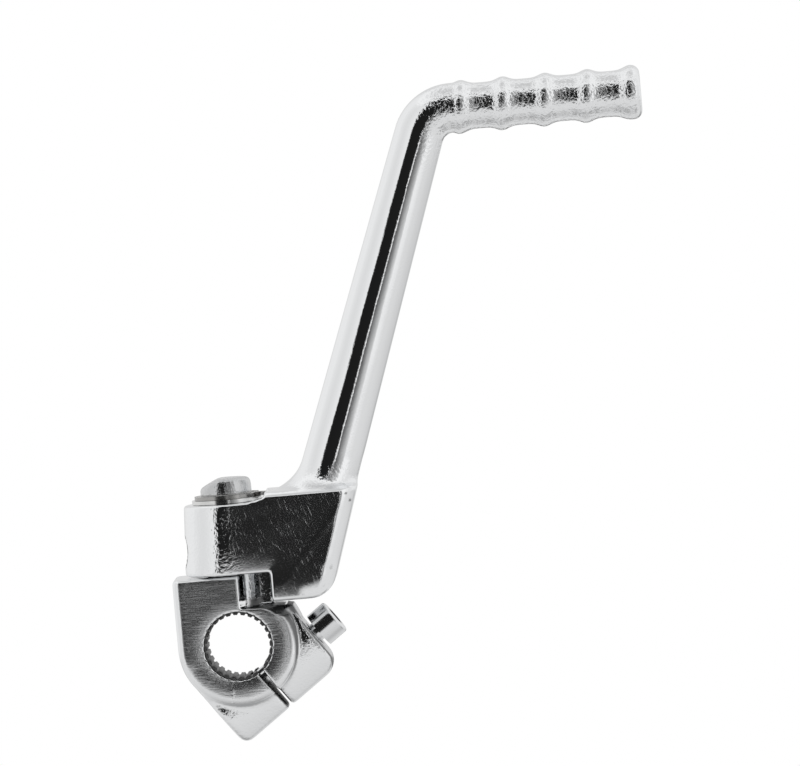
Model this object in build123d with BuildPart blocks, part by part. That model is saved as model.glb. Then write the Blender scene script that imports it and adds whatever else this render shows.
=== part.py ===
"""Folding kick start lever: a splined clamp knuckle with an upright pivot post, and a forged arm
with a ribbed pedal that swings about the post.

Millimetres, +Z up along the post. The origin is the middle of the kick shaft bore, whose axis is Y.
The arm is drawn folded in, with the pedal along +X.
"""

import os
from math import cos, pi, radians, sin, sqrt, tan

from build123d import *

# Kick shaft bore
bore_tip_d = 17.2
bore_root_d = 18.2
spline_teeth = 28
spline_land_share = 0.44
spline_root_share = 0.2
bore_chamfer = 0.7

# Knuckle body
knuckle_depth = 20.4
collar_d = 33.0
collar_round = 2.2
land_z = 19.3
land_round = 1.2
notch_floor_z = 10.0
notch_front_x = 1.3
notch_back_x = 3.0
rear_land_y = 4.0
shoulder_r = 18.7
shoulder_depth = 16.0
shoulder_round = 3.0

# Clamp ears, in axes turned so that one runs along the screw and the other out of the slit
screw_angle = 35.9
ear_tail_span = 16.5
ear_head_span = 17.6
ear_reach = 22.0
ear_crown_depth = 16.4
ear_crown_reach = 12.5
ear_lip_depth = 10.0
ear_inner_depth = 13.0
ear_corner_head_r = 4.5
ear_corner_tail_r = 2.5
slit_width = 2.2
slit_lip_width = 0.9
slit_run = 24.0

# Pinch screw, M6 drawn as its pitch cylinder
screw_offset = 11.35
screw_pitch_d = 5.4
screw_head_d = 10.0
screw_head_h = 6.0
screw_head_round = 0.7
screw_socket_af = 5.0
screw_socket_depth = 3.2
screw_length = 30.0
screw_lift = 1.3
screw_tip_chamfer = 0.6
screw_hole_d = 6.4
thread_clearance = 0.05
seat_d = 11.6

# Pivot post and what holds the arm on it
post_d = 14.0
post_top_z = 45.7
post_top_round = 1.3
post_crop_height = 2.4
post_crop_width = 5.2
pivot_clearance = 0.05
axial_gap = 0.3
washer_od = 19.0
washer_bore_clearance = 0.1
washer_thickness = 1.0
washer_lift = 0.1
clip_thickness = 1.0
clip_groove_d = 12.8
clip_groove_width = 1.1
clip_seat_clearance = 0.04
clip_od = 16.8
clip_shift = 0.35
clip_gap_angle = 40.0
clip_turn = 22.0
clip_lug_r = 1.75
clip_lug_reach = 9.3
clip_lug_hole_d = 1.5

# Base block of the arm
eye_r = 13.0
eye_lean = 3.3
block_top_z = 41.4
spot_face_z = 39.0
spot_face_r = 12.0
stop_gap = 0.4
lug_bottom_z = 11.5
block_lip = 0.4
block_right_lean = 18.1
block_corner_r = 5.5
lug_corner_r = 7.5
lug_edge_r = 1.4
eye_edge_r = 0.8
heel_edge_r = 0.3
brow_drop = 1.2
brow_run = 2.6
rim_start_x = 1.5
rim_rise = 0.9

# Arm and pedal
arm_lean = 19.9
arm_foot_x = 30.66
arm_foot_rise = 9.26
arm_foot_d = 15.9
arm_rise = 90.44
arm_top_d = 13.6
bend_r = 10.0
flare_spot_gap = 0.7
flare_face_gap = 0.1
flare_height = 7.1
flare_sink = 0.4
flare_blend = 7.4
pedal_tail = 3.3
pedal_end_round = 2.4
pedal_end_draw = 0.15
rib_count = 5
rib_lead = 2.5
rib_pitch = 11.55
rib_d = 15.0
waist_d = 12.7
rib_tilt = 4.5

# Ball detent
detent_z = 26.5
ball_d = 7.0
ball_bite = 1.6
ball_clearance = 0.1
dimple_extra = 0.2
detent_hole_end_x = 24.0
access_hole_d = 7.9
swing = 90.0
spring_wire_d = 0.9
spring_od = 6.4
spring_turns = 6
spring_end_gap = 0.15

half_depth = knuckle_depth / 2
collar_r = collar_d / 2
post_r = post_d / 2
pivot_r = post_r + pivot_clearance
block_bottom_z = land_z + axial_gap
lug_inner_x = half_depth + stop_gap
ball_r = ball_d / 2
ball_x = post_r + ball_r - ball_bite
detent_hole_r = ball_r + ball_clearance
washer_z = spot_face_z + washer_lift
groove_z = washer_z + washer_thickness
clip_z = groove_z + (clip_groove_width - clip_thickness) / 2

screw_dir = Vector(cos(radians(screw_angle)), 0, sin(radians(screw_angle)))
slit_dir = Vector(sin(radians(screw_angle)), 0, -cos(radians(screw_angle)))
ear_plane = Plane(origin=(0, 0, 0), x_dir=screw_dir, z_dir=(0, 1, 0))
ear_section = Plane(origin=screw_dir * -ear_tail_span, x_dir=slit_dir, z_dir=screw_dir)
screw_plane = Plane(origin=slit_dir * screw_offset, x_dir=slit_dir, z_dir=screw_dir)


def arm_axis_x(z):
    """X of the arm's centre line at height z."""
    return arm_foot_x + (z - arm_foot_z) * tan(radians(arm_lean))


arm_foot_z = block_top_z + arm_foot_rise
pedal_z = arm_foot_z + arm_rise
bend_trim = bend_r * tan(radians((90 - arm_lean) / 2))
arm_dir = Vector(sin(radians(arm_lean)), 0, cos(radians(arm_lean)))
arm_side = Vector(cos(radians(arm_lean)), 0, -sin(radians(arm_lean)))
bend_start = Vector(arm_axis_x(pedal_z), 0, pedal_z) - arm_dir * bend_trim
bend_end_x = arm_axis_x(pedal_z) + bend_trim
rib_first_x = bend_end_x + rib_lead
pedal_end_x = rib_first_x + rib_pitch * (rib_count - 1) + pedal_tail


def arm_r(z):
    """Radius of the tapered arm where its centre line is at height z."""
    share = (z - arm_foot_z) / (bend_start.Z - arm_foot_z)
    return (arm_foot_d + (arm_top_d - arm_foot_d) * share) / 2


def arm_section(z, left=0.0, front=0.0):
    """Level ellipse through the leaning arm, widened on the left and on the front and back."""
    half = arm_r(z) / cos(radians(arm_lean))
    low = arm_axis_x(z) - half - left
    high = arm_axis_x(z) + half
    with BuildSketch(Plane(origin=((low + high) / 2, 0, z))) as cut:
        Ellipse((high - low) / 2, arm_r(z) + front)
    return cut.sketch


def pedal_section(x, r, tilt):
    """Round section of the pedal at x, its top leaning towards the end by tilt degrees."""
    lean = radians(tilt)
    across = Plane(origin=(x, 0, pedal_z), x_dir=(0, 1, 0), z_dir=(cos(lean), 0, -sin(lean)))
    with BuildSketch(across) as cut:
        Circle(r)
    return cut.sketch


# Shoulder that stands out behind the collar, between the notch floor and the screw seat
with BuildPart() as shoulder:
    with BuildSketch(Plane.XY) as shoulder_cut:
        Rectangle(shoulder_r, shoulder_depth, align=(Align.MIN, Align.CENTER))
        fillet(shoulder_cut.vertices().group_by(Axis.X)[-1], shoulder_round)
    revolve(axis=Axis.Y)
    with Locations((0, 0, 0)):
        Box(
            shoulder_r,
            knuckle_depth,
            notch_floor_z,
            align=(Align.MIN, Align.CENTER, Align.MIN),
            mode=Mode.INTERSECT,
        )

# Pair of clamp ears as one crowned bar along the screw, before the slit parts them
with BuildPart() as ears:
    with BuildSketch(ear_section):
        with BuildLine():
            ThreePointArc(
                (0, -ear_inner_depth / 2),
                (ear_crown_reach, -ear_crown_depth / 2),
                (ear_reach, -ear_lip_depth / 2),
            )
            Line((ear_reach, -ear_lip_depth / 2), (ear_reach, ear_lip_depth / 2))
            ThreePointArc(
                (ear_reach, ear_lip_depth / 2),
                (ear_crown_reach, ear_crown_depth / 2),
                (0, ear_inner_depth / 2),
            )
            Line((0, ear_inner_depth / 2), (0, -ear_inner_depth / 2))
        make_face()
    extrude(amount=ear_tail_span + ear_head_span)
    across = ears.edges().filter_by(GeomType.LINE).filter_by(Axis.Y)
    corners = across.sort_by(Axis((0, 0, 0), slit_dir))[-2:].sort_by(Axis((0, 0, 0), screw_dir))
    fillet(corners[-1], ear_corner_head_r)
    fillet(corners[0], ear_corner_tail_r)

# Lands beside the notch, on which the arm's block turns
with BuildPart() as lands:
    with BuildSketch(Plane.XY.offset(notch_floor_z)):
        Polygon(
            (-collar_r, -half_depth),
            (notch_front_x, -half_depth),
            (notch_back_x, -post_r),
            (notch_back_x, rear_land_y),
            (half_depth, rear_land_y),
            (half_depth, half_depth),
            (-collar_r, half_depth),
            align=None,
        )
    extrude(amount=land_z - notch_floor_z)
    fillet(lands.edges().filter_by(Axis.Z).group_by(Axis.X)[0], collar_round)
    land_top = lands.faces().sort_by(Axis.Z)[-1]
    land_rim = land_top.edges().filter_by(lambda e: e.center().X < 0 or e.center().Y > half_depth - 0.01)
    fillet(land_rim, land_round)

# Clamp knuckle: round collar, cut level under the notch, with the lands, shoulder and ears
with BuildPart() as clamp_knuckle:
    floor_x = sqrt(collar_r**2 - notch_floor_z**2)
    with BuildSketch(Plane.XZ):
        with BuildLine():
            Line((floor_x, notch_floor_z), (-collar_r, notch_floor_z))
            Line((-collar_r, notch_floor_z), (-collar_r, 0))
            ThreePointArc((-collar_r, 0), (0, -collar_r), (floor_x, notch_floor_z))
        make_face()
    extrude(amount=half_depth, both=True)
    rim = (
        clamp_knuckle.edges()
        .filter_by(lambda e: abs(abs(e.center().Y) - half_depth) < 0.01)
        .filter_by(lambda e: e.geom_type == GeomType.CIRCLE or e.center().X < -collar_r + 0.01)
    )
    fillet(rim, collar_round)
    add(lands.part)
    add(shoulder.part)
    add(ears.part)

    # screw seat, screw hole, tapped hole and slit
    with Locations(screw_plane.offset(ear_head_span)):
        Cylinder(seat_d / 2, ear_reach, align=(Align.CENTER, Align.CENTER, Align.MIN), mode=Mode.SUBTRACT)
    with Locations(screw_plane):
        Cylinder(
            screw_hole_d / 2,
            ear_reach,
            align=(Align.CENTER, Align.CENTER, Align.MIN),
            mode=Mode.SUBTRACT,
        )
        Cylinder(
            screw_pitch_d / 2 + thread_clearance,
            ear_reach,
            align=(Align.CENTER, Align.CENTER, Align.MAX),
            mode=Mode.SUBTRACT,
        )
    with BuildSketch(ear_plane):
        Polygon(
            (-slit_width / 2, 0),
            (slit_width / 2, 0),
            (slit_lip_width / 2, slit_run),
            (-slit_lip_width / 2, slit_run),
            align=None,
        )
    extrude(amount=knuckle_depth, both=True, mode=Mode.SUBTRACT)

    # pivot post, turned with a rounded end and a ring groove, its end cropped on the left
    with BuildSketch(Plane.XZ) as post_half:
        Rectangle(post_r, post_top_z, align=(Align.MIN, Align.MIN))
        fillet(post_half.vertices().group_by(Axis.Y)[-1].sort_by(Axis.X)[-1], post_top_round)
        with Locations((clip_groove_d / 2, groove_z)):
            Rectangle(post_r, clip_groove_width, align=(Align.MIN, Align.MIN), mode=Mode.SUBTRACT)
    revolve(axis=Axis.Z)
    with BuildSketch(Plane.XZ):
        Polygon(
            (-post_r, post_top_z - post_crop_height),
            (-post_r + post_crop_width, post_top_z),
            (-post_r, post_top_z),
            align=None,
        )
    extrude(amount=post_r, both=True, mode=Mode.SUBTRACT)

    # ball track round a quarter of the post, deeper at its two ends
    with BuildSketch(Plane(origin=(0, 0, 0), x_dir=(0, -1, 0), z_dir=(-1, 0, 0))):
        with Locations((ball_x, detent_z)):
            Circle(detent_hole_r)
    revolve(axis=Axis.Z, revolution_arc=swing, mode=Mode.SUBTRACT)
    with Locations((ball_x - dimple_extra, 0, detent_z), (0, dimple_extra - ball_x, detent_z)):
        Sphere(detent_hole_r, mode=Mode.SUBTRACT)

    # splined bore with a chamfer at each mouth
    with BuildSketch(Plane.XZ):
        Circle(bore_tip_d / 2)
        tooth = 2 * pi / spline_teeth
        mouth = bore_tip_d / 2 * sin(tooth * (1 - spline_land_share) / 2)
        floor = bore_root_d / 2 * sin(tooth * spline_root_share / 2)
        with PolarLocations(0, spline_teeth):
            Polygon(
                (bore_tip_d / 4, -mouth),
                (bore_tip_d / 2, -mouth),
                (bore_root_d / 2, -floor),
                (bore_root_d / 2, floor),
                (bore_tip_d / 2, mouth),
                (bore_tip_d / 4, mouth),
                align=None,
            )
    extrude(amount=half_depth, both=True, mode=Mode.SUBTRACT)
    with BuildSketch(Plane.XY):
        for face_y in (-half_depth, half_depth):
            inner_y = face_y * (1 - bore_chamfer / half_depth)
            Polygon(
                (0, face_y),
                (bore_tip_d / 2 + bore_chamfer, face_y),
                (bore_tip_d / 2, inner_y),
                (0, inner_y),
                align=None,
            )
    revolve(axis=Axis.Y, mode=Mode.SUBTRACT)
clamp_knuckle.part.label = "clamp_knuckle"

# Pinch screw with a hexagon socket, standing a little off its seat
with BuildPart() as pinch_screw:
    with Locations(screw_plane.offset(ear_head_span + screw_lift)):
        Cylinder(screw_head_d / 2, screw_head_h, align=(Align.CENTER, Align.CENTER, Align.MIN))
        Cylinder(screw_pitch_d / 2, screw_length, align=(Align.CENTER, Align.CENTER, Align.MAX))
    rings = pinch_screw.edges().filter_by(GeomType.CIRCLE).sort_by(Axis((0, 0, 0), screw_dir))
    fillet(rings[-1], screw_head_round)
    chamfer(rings[0], screw_tip_chamfer)
    with BuildSketch(screw_plane.offset(ear_head_span + screw_lift + screw_head_h)):
        RegularPolygon(screw_socket_af / 2, 6, major_radius=False)
    extrude(amount=-screw_socket_depth, mode=Mode.SUBTRACT)
pinch_screw.part.label = "pinch_screw"

# Washer between the arm and the ring
with BuildPart() as thrust_washer:
    with BuildSketch(Plane.XY.offset(washer_z)):
        Circle(washer_od / 2)
        Circle(post_r + washer_bore_clearance, mode=Mode.SUBTRACT)
    extrude(amount=washer_thickness)
thrust_washer.part.label = "thrust_washer"

# Retaining ring, thickest opposite its gap, with a holed lug at each end
with BuildPart() as circlip:
    clip_dir = Vector(1, 0, 0).rotate(Axis.Z, clip_turn)
    with BuildSketch(Plane(origin=(0, 0, clip_z), x_dir=clip_dir, z_dir=(0, 0, 1))):
        with Locations((-clip_shift, 0)):
            Circle(clip_od / 2)
        lug_spots = PolarLocations(clip_lug_reach, 2, -clip_gap_angle / 2, clip_gap_angle, endpoint=True)
        with lug_spots:
            Circle(clip_lug_r)
        Circle(clip_groove_d / 2 + clip_seat_clearance, mode=Mode.SUBTRACT)
        with BuildLine():
            wedge = clip_od * tan(radians(clip_gap_angle / 2) - clip_lug_r / clip_lug_reach)
            Polyline((0, 0), (clip_od, -wedge), (clip_od, wedge), close=True)
        make_face(mode=Mode.SUBTRACT)
        with lug_spots:
            Circle(clip_lug_hole_d / 2, mode=Mode.SUBTRACT)
    extrude(amount=clip_thickness)
circlip.part.label = "circlip"

# Eye of the base block, its left end leaning a little with the forging
with BuildPart() as eye:
    with BuildSketch(Plane.XY.offset(block_bottom_z)):
        Circle(eye_r)
        Rectangle(spot_face_r, 2 * eye_r, align=(Align.MIN, Align.CENTER))
    eye_rise = (spot_face_z - block_bottom_z) / cos(radians(eye_lean))
    extrude(amount=eye_rise, dir=(sin(radians(eye_lean)), 0, cos(radians(eye_lean))))
    eye_top = eye.faces().sort_by(Axis.Z)[-1]
    fillet(eye_top.edges().filter_by(lambda e: e.center().X < spot_face_r), eye_edge_r)

    # rims in front of and behind the spot face, rising towards the arm
    with BuildSketch(Plane.XZ):
        Polygon(
            (rim_start_x, spot_face_z - eye_edge_r),
            (lug_inner_x, spot_face_z + rim_rise),
            (lug_inner_x, block_bottom_z),
            (rim_start_x, block_bottom_z),
            align=None,
        )
    extrude(amount=eye_r, both=True)

# Right-hand part of the base block, with the stop lug below and the arm's foot above
with BuildPart() as heel:
    with BuildSketch(Plane.XY.offset(lug_bottom_z)) as heel_plan:
        block_right_x = arm_axis_x(block_top_z) + arm_r(block_top_z) / cos(radians(arm_lean)) + block_lip
        heel_right = block_right_x - (block_top_z - lug_bottom_z) * tan(radians(block_right_lean))
        heel_left = lug_inner_x - (block_top_z - lug_bottom_z) * tan(radians(block_right_lean))
        with Locations((heel_right, 0)):
            Rectangle(heel_right - heel_left, 2 * eye_r, align=(Align.MAX, Align.CENTER))
        fillet(heel_plan.vertices().group_by(Axis.X)[-1], block_corner_r)
    heel_rise = (block_top_z - lug_bottom_z) / cos(radians(block_right_lean))
    extrude(amount=heel_rise, dir=(sin(radians(block_right_lean)), 0, cos(radians(block_right_lean))))
    inner = heel.faces().sort_by(Axis.X)[0]
    top_rim = heel.faces().sort_by(Axis.Z)[-1].edges() - inner.edges()
    bottom_rim = heel.faces().sort_by(Axis.Z)[0].edges() - inner.edges()
    fillet(top_rim, heel_edge_r)
    fillet(bottom_rim, lug_edge_r)
    with BuildSketch(Plane.XZ) as heel_side:
        Polygon(
            (lug_inner_x, lug_bottom_z),
            (heel_right, lug_bottom_z),
            (block_right_x, block_top_z),
            (lug_inner_x, block_top_z),
            align=None,
        )
        fillet(heel_side.vertices().group_by(Axis.Y)[0].sort_by(Axis.X)[-1], lug_corner_r)
    extrude(amount=2 * eye_r, both=True, mode=Mode.INTERSECT)
    with BuildSketch(Plane.YZ):
        for side in (-1, 1):
            Polygon(
                (side * (eye_r - brow_run), block_top_z),
                (side * eye_r, block_top_z),
                (side * eye_r, block_top_z - brow_drop),
                align=None,
            )
    extrude(amount=2 * block_right_x, both=True, mode=Mode.SUBTRACT)

# Level sections of the arm's foot, flared where it leaves the block
flare_z = block_top_z - flare_sink
foot_half = arm_r(flare_z) / cos(radians(arm_lean))
flare_left = arm_axis_x(flare_z) - foot_half - spot_face_r - flare_spot_gap
flare_front = eye_r - brow_run - flare_face_gap - arm_r(flare_z)
flare = []
for turn in (0, 15, 30, 45, 60, 75, 90):
    spread = 1 - sin(radians(turn))
    rise = flare_height * (1 - cos(radians(turn)))
    flare.append(arm_section(flare_z + rise, flare_left * spread, flare_front * spread))
for share in (0.25, 0.5, 0.75, 1.0):
    flare.append(arm_section(flare_z + flare_height + flare_blend * share))
with BuildSketch(Plane(origin=bend_start, x_dir=arm_side, z_dir=arm_dir)) as bar_end:
    Circle(arm_top_d / 2)

# Sections of the pedal, four to each wave from crest to waist and back
pedal = [pedal_section(bend_end_x, arm_top_d / 2, 0)]
for quarter in range(4 * (rib_count - 1) + 1):
    swell = (1 + cos(pi / 2 * quarter)) / 2
    x = rib_first_x + rib_pitch * quarter / 4
    pedal.append(pedal_section(x, (waist_d + (rib_d - waist_d) * swell) / 2, rib_tilt))
pedal.append(pedal_section(pedal_end_x, rib_d / 2 - pedal_end_draw, 0))

# Arm: flared foot, tapered bar, bend and ribbed pedal
with BuildPart() as bar:
    loft(flare)
    loft([flare[-1], bar_end.sketch], ruled=True)
    bend_axis = Axis(bend_start + arm_side * bend_r, (0, 1, 0))
    revolve(bar_end.sketch, axis=bend_axis, revolution_arc=90 - arm_lean)
    loft(pedal)
    fillet(bar.edges().sort_by(Axis.X)[-1], pedal_end_round)

# Kick arm: block, arm and pedal as one forging, then its machined holes
with BuildPart() as kick_arm:
    add(eye.part)
    add(heel.part)
    with BuildSketch(Plane.XY.offset(spot_face_z)):
        Circle(spot_face_r)
    extrude(amount=block_top_z, mode=Mode.SUBTRACT)
    add(bar.part)
    with Locations((0, 0, block_bottom_z)):
        Cylinder(
            pivot_r,
            spot_face_z - block_bottom_z,
            align=(Align.CENTER, Align.CENTER, Align.MIN),
            mode=Mode.SUBTRACT,
        )
    with BuildSketch(Plane.YZ):
        with Locations((0, detent_z)):
            Circle(detent_hole_r)
    extrude(amount=detent_hole_end_x, mode=Mode.SUBTRACT)
    with BuildSketch(Plane.YZ):
        with Locations((0, detent_z)):
            Circle(access_hole_d / 2)
    extrude(amount=-2 * eye_r, mode=Mode.SUBTRACT)
kick_arm.part.label = "kick_arm"

# Detent ball and the spring behind it
with BuildPart() as detent_ball:
    with Locations((ball_x, 0, detent_z)):
        Sphere(ball_r)
detent_ball.part.label = "detent_ball"

with BuildPart() as detent_spring:
    coil_r = (spring_od - spring_wire_d) / 2
    touch_r = ball_r + spring_wire_d / 2 + spring_end_gap
    coil_start = ball_x + sqrt(touch_r**2 - coil_r**2)
    coil_end = detent_hole_end_x - spring_wire_d / 2 - spring_end_gap
    with BuildLine():
        coil = Helix(
            pitch=(coil_end - coil_start) / spring_turns,
            height=coil_end - coil_start,
            radius=coil_r,
            center=(coil_start, 0, detent_z),
            direction=(1, 0, 0),
        )
    with BuildSketch(Plane(origin=coil @ 0, z_dir=coil % 0)):
        Circle(spring_wire_d / 2)
    sweep(is_frenet=True)
detent_spring.part.label = "detent_spring"

os.makedirs("parts", exist_ok=True)
export_step(kick_arm.part, "parts/kick_arm.step")
export_step(clamp_knuckle.part, "parts/clamp_knuckle.step")
export_step(pinch_screw.part, "parts/pinch_screw.step")
export_step(thrust_washer.part, "parts/thrust_washer.step")
export_step(circlip.part, "parts/circlip.step")
export_step(detent_ball.part, "parts/detent_ball.step")
export_step(detent_spring.part, "parts/detent_spring.step")
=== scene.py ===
"""Looks of a folding kick start lever in bright chrome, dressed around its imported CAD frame."""

import logging
import math
from collections.abc import Callable, Iterable
from dataclasses import dataclass
from enum import Enum

import bmesh
import bpy
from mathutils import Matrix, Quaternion, Vector

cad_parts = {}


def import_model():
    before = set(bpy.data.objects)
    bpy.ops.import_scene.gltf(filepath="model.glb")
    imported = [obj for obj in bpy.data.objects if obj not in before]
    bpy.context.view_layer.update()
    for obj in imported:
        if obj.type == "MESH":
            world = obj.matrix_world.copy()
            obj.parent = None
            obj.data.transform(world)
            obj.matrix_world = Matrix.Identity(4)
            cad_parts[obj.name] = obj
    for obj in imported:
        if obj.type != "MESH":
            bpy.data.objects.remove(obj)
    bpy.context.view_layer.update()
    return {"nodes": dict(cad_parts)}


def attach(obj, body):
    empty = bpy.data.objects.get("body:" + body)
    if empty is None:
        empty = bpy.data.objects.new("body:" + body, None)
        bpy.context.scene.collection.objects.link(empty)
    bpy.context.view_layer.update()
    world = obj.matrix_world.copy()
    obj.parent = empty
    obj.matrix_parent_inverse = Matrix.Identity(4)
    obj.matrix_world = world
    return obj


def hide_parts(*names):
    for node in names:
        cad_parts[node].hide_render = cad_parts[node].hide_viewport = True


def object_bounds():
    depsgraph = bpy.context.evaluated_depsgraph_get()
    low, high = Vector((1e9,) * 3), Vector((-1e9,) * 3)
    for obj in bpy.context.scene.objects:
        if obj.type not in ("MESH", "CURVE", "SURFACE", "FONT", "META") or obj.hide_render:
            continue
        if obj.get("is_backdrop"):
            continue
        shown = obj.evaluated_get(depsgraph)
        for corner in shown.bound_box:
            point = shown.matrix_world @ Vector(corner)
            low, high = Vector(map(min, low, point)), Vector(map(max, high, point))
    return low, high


LOG = logging.getLogger("kick_start_lever")
MM = 0.001
SLIT_TURN = math.radians(35.9)
MERGE_GAP = 0.001 * MM
NEAR = 0.01 * MM
SMOOTH_STEP = 0.5

# where a share starts and where it is full, or the two ends of a range
Span = tuple[float, float]
# a place along a ramp and its grey level
Stop = tuple[float, float]
Stops = tuple[Stop, ...]
# whether a point is wanted
Wanted = Callable[[Vector], bool]
# how much of a trait a point has, from the point and its normal
Share = Callable[[Vector, Vector], float]


class Body(Enum):
    """The two bodies that the pivot post joins."""

    KNUCKLE = "knuckle"
    ARM = "arm"


class Slot(Enum):
    """Names of the record's material slots, which new pieces are passed with but which nothing reads."""

    ARM = "arm_chrome"
    KNUCKLE = "knuckle_chrome"


class Trait(Enum):
    """What a finish reads from the marks on a surface."""

    GRAIN = "cast_grain"
    LAP = "lapped"
    # painted shade in the slit, the bore, the detent's hole and under the lug, a darker post top, and
    # bare steel in small pits
    SHADE_AND_BARE = "painted_shade_and_bare_steel"


def linear(colour: str) -> tuple[float, float, float, float]:
    """Turns an sRGB hex colour into linear light.

    Args:
        colour: six hex digits after a hash.

    Returns:
        Linear red, green, blue and an alpha of one.
    """
    channels = [int(colour[i : i + 2], 16) / 255 for i in (1, 3, 5)]
    light = [c / 12.92 if c <= 0.04045 else ((c + 0.055) / 1.055) ** 2.4 for c in channels]
    return (*light, 1.0)


def add_node(
    tree: bpy.types.NodeTree,
    kind: str,
    inputs: dict[int | str, object] | None = None,
    **settings: object,
) -> bpy.types.Node:
    """Adds a node, sets it up and links it.

    Args:
        tree: the node tree to add to.
        kind: the node's type name.
        inputs: what each input holds: a socket to link from, or a plain value.
        settings: the node's own properties.

    Returns:
        The new node.
    """
    node = tree.nodes.new(kind)
    for name, value in settings.items():
        setattr(node, name, value)
    for key, value in (inputs or {}).items():
        if isinstance(value, bpy.types.NodeSocket):
            tree.links.new(value, node.inputs[key])
        else:
            node.inputs[key].default_value = value
    return node


def set_ramp(ramp: bpy.types.ColorRamp, stops: Iterable[Stop]) -> None:
    """Sets a colour ramp to grey stops.

    Args:
        ramp: the ramp to set.
        stops: pairs of place along the ramp and grey level, in rising order.
    """
    while len(ramp.elements) > 1:
        ramp.elements.remove(ramp.elements[-1])
    for i, (place, grey) in enumerate(stops):
        stop = ramp.elements[0] if i == 0 else ramp.elements.new(place)
        stop.position = place
        stop.color = (grey, grey, grey, 1.0)


def new_material(name: str) -> bpy.types.Material:
    """Makes a material with an empty node tree.

    Args:
        name: the finish's name.

    Returns:
        The material.
    """
    material = bpy.data.materials.new(name)
    material.use_nodes = True
    material.node_tree.nodes.clear()
    return material


def take(piece: bpy.types.Object) -> None:
    """Makes a piece the only one selected, and the active one.

    Args:
        piece: the object to work on.
    """
    bpy.ops.object.select_all(action="DESELECT")
    piece.select_set(True)
    bpy.context.view_layer.objects.active = piece


def apply_modifier(piece: bpy.types.Object, kind: str, **settings: object) -> None:
    """Adds a modifier and applies it.

    Args:
        piece: the object to change.
        kind: the modifier's type name.
        settings: the modifier's own properties.
    """
    take(piece)
    modifier = piece.modifiers.new(kind.lower(), kind)
    for name, value in settings.items():
        setattr(modifier, name, value)
    bpy.ops.object.modifier_apply(modifier=modifier.name)


def merged_copy(node: bpy.types.Object, name: str) -> bpy.types.Object:
    """Copies a CAD node as one closed mesh.

    Args:
        node: the CAD node, which stays as it is.
        name: the copy's name.

    Returns:
        The copy, with its loose triangles merged.
    """
    copy = bpy.data.objects.new(name, node.data.copy())
    bpy.context.collection.objects.link(copy)
    copy.data.materials.clear()
    take(copy)
    bpy.ops.mesh.customdata_custom_splitnormals_clear()
    bpy.ops.object.mode_set(mode="EDIT")
    bpy.ops.mesh.select_all(action="SELECT")
    bpy.ops.mesh.remove_doubles(threshold=MERGE_GAP)
    bpy.ops.object.mode_set(mode="OBJECT")
    return copy


def cut_away(piece: bpy.types.Object, cutter: bpy.types.Object) -> None:
    """Cuts one closed mesh out of another and throws the cutter away.

    Args:
        piece: the mesh that is cut.
        cutter: the mesh that cuts.
    """
    apply_modifier(piece, "BOOLEAN", operation="DIFFERENCE", solver="EXACT", object=cutter)
    bpy.data.objects.remove(cutter)


def drill(
    piece: bpy.types.Object,
    radius: float,
    depth: float,
    middle: tuple[float, float, float] | Vector = (0, 0, 0),
    turn: tuple[float, float, float] = (0, 0, 0),
    facets: int = 96,
) -> None:
    """Drills a round hole into a closed mesh.

    Args:
        piece: the mesh that is drilled.
        radius: the hole's radius.
        depth: how long the drill is.
        middle: the middle of the drill.
        turn: how the drill is turned away from upright.
        facets: how many sides the hole has.
    """
    bpy.ops.object.select_all(action="DESELECT")
    bpy.ops.mesh.primitive_cylinder_add(
        vertices=facets, radius=radius, depth=depth, location=middle, rotation=turn
    )
    bit = bpy.context.object
    bpy.ops.object.transform_apply()
    cut_away(piece, bit)


def select_edges(piece: bpy.types.Object, wanted: Wanted) -> None:
    """Selects the edges, in edit mode, whose two ends are both wanted.

    Args:
        piece: the object in edit mode.
        wanted: tells whether a point is wanted.
    """
    bpy.ops.mesh.select_all(action="DESELECT")
    mesh = bmesh.from_edit_mesh(piece.data)
    for edge in mesh.edges:
        if all(wanted(v.co) for v in edge.verts):
            edge.select_set(True)
    bmesh.update_edit_mesh(piece.data)


def draw_edge(
    piece: bpy.types.Object,
    wanted: Wanted,
    reach: float,
    tool: Callable[..., object],
    **how: object,
) -> None:
    """Draws wanted edges elsewhere, and the surface beside them less and less.

    Args:
        piece: the object to shape.
        wanted: tells whether a point is on the edge.
        reach: how far from the edge the surface still moves.
        tool: the transform operator that moves the edge.
        how: what the operator is told.
    """
    take(piece)
    bpy.ops.object.mode_set(mode="EDIT")
    select_edges(piece, wanted)
    tool(
        use_proportional_edit=True,
        proportional_edit_falloff="SHARP",
        proportional_size=reach,
        **how,
    )
    bpy.ops.object.mode_set(mode="OBJECT")


def roll_edge(piece: bpy.types.Object, wanted: Wanted, share: float, reach: float) -> None:
    """Rolls edges over, towards the lever's middle plane.

    Args:
        piece: the object to shape.
        wanted: tells whether a point is on the edge.
        share: how far the edge goes, as a share of its distance from the middle plane.
        reach: how far from the edge the surface still moves.
    """
    squeeze = (1, 1 - share, 1)
    draw_edge(piece, wanted, reach, bpy.ops.transform.resize, value=squeeze, center_override=(0, 0, 0))


def soften(piece: bpy.types.Object, wanted: Callable[[Vector], float], iterations: int) -> None:
    """Smooths a mesh more in some places than in others.

    Args:
        piece: the object to smooth.
        wanted: gives a weight from none, 0, to full, 1, at a point.
        iterations: how often the smoothing repeats.
    """
    group = piece.vertex_groups.new(name="softened")
    for vertex in piece.data.vertices:
        weight = wanted(vertex.co)
        if weight > 0:
            group.add([vertex.index], weight, "REPLACE")
    apply_modifier(piece, "SMOOTH", factor=SMOOTH_STEP, iterations=iterations, vertex_group=group.name)
    piece.vertex_groups.clear()


def ease(value: float, low: float, high: float) -> float:
    """Rises smoothly from 0 at low to 1 at high, or falls where low is the greater.

    Args:
        value: where to look.
        low: where the rise starts.
        high: where the rise ends.

    Returns:
        The share risen.
    """
    share = min(max((value - low) / (high - low), 0.0), 1.0)
    return share * share * (3 - 2 * share)


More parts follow.
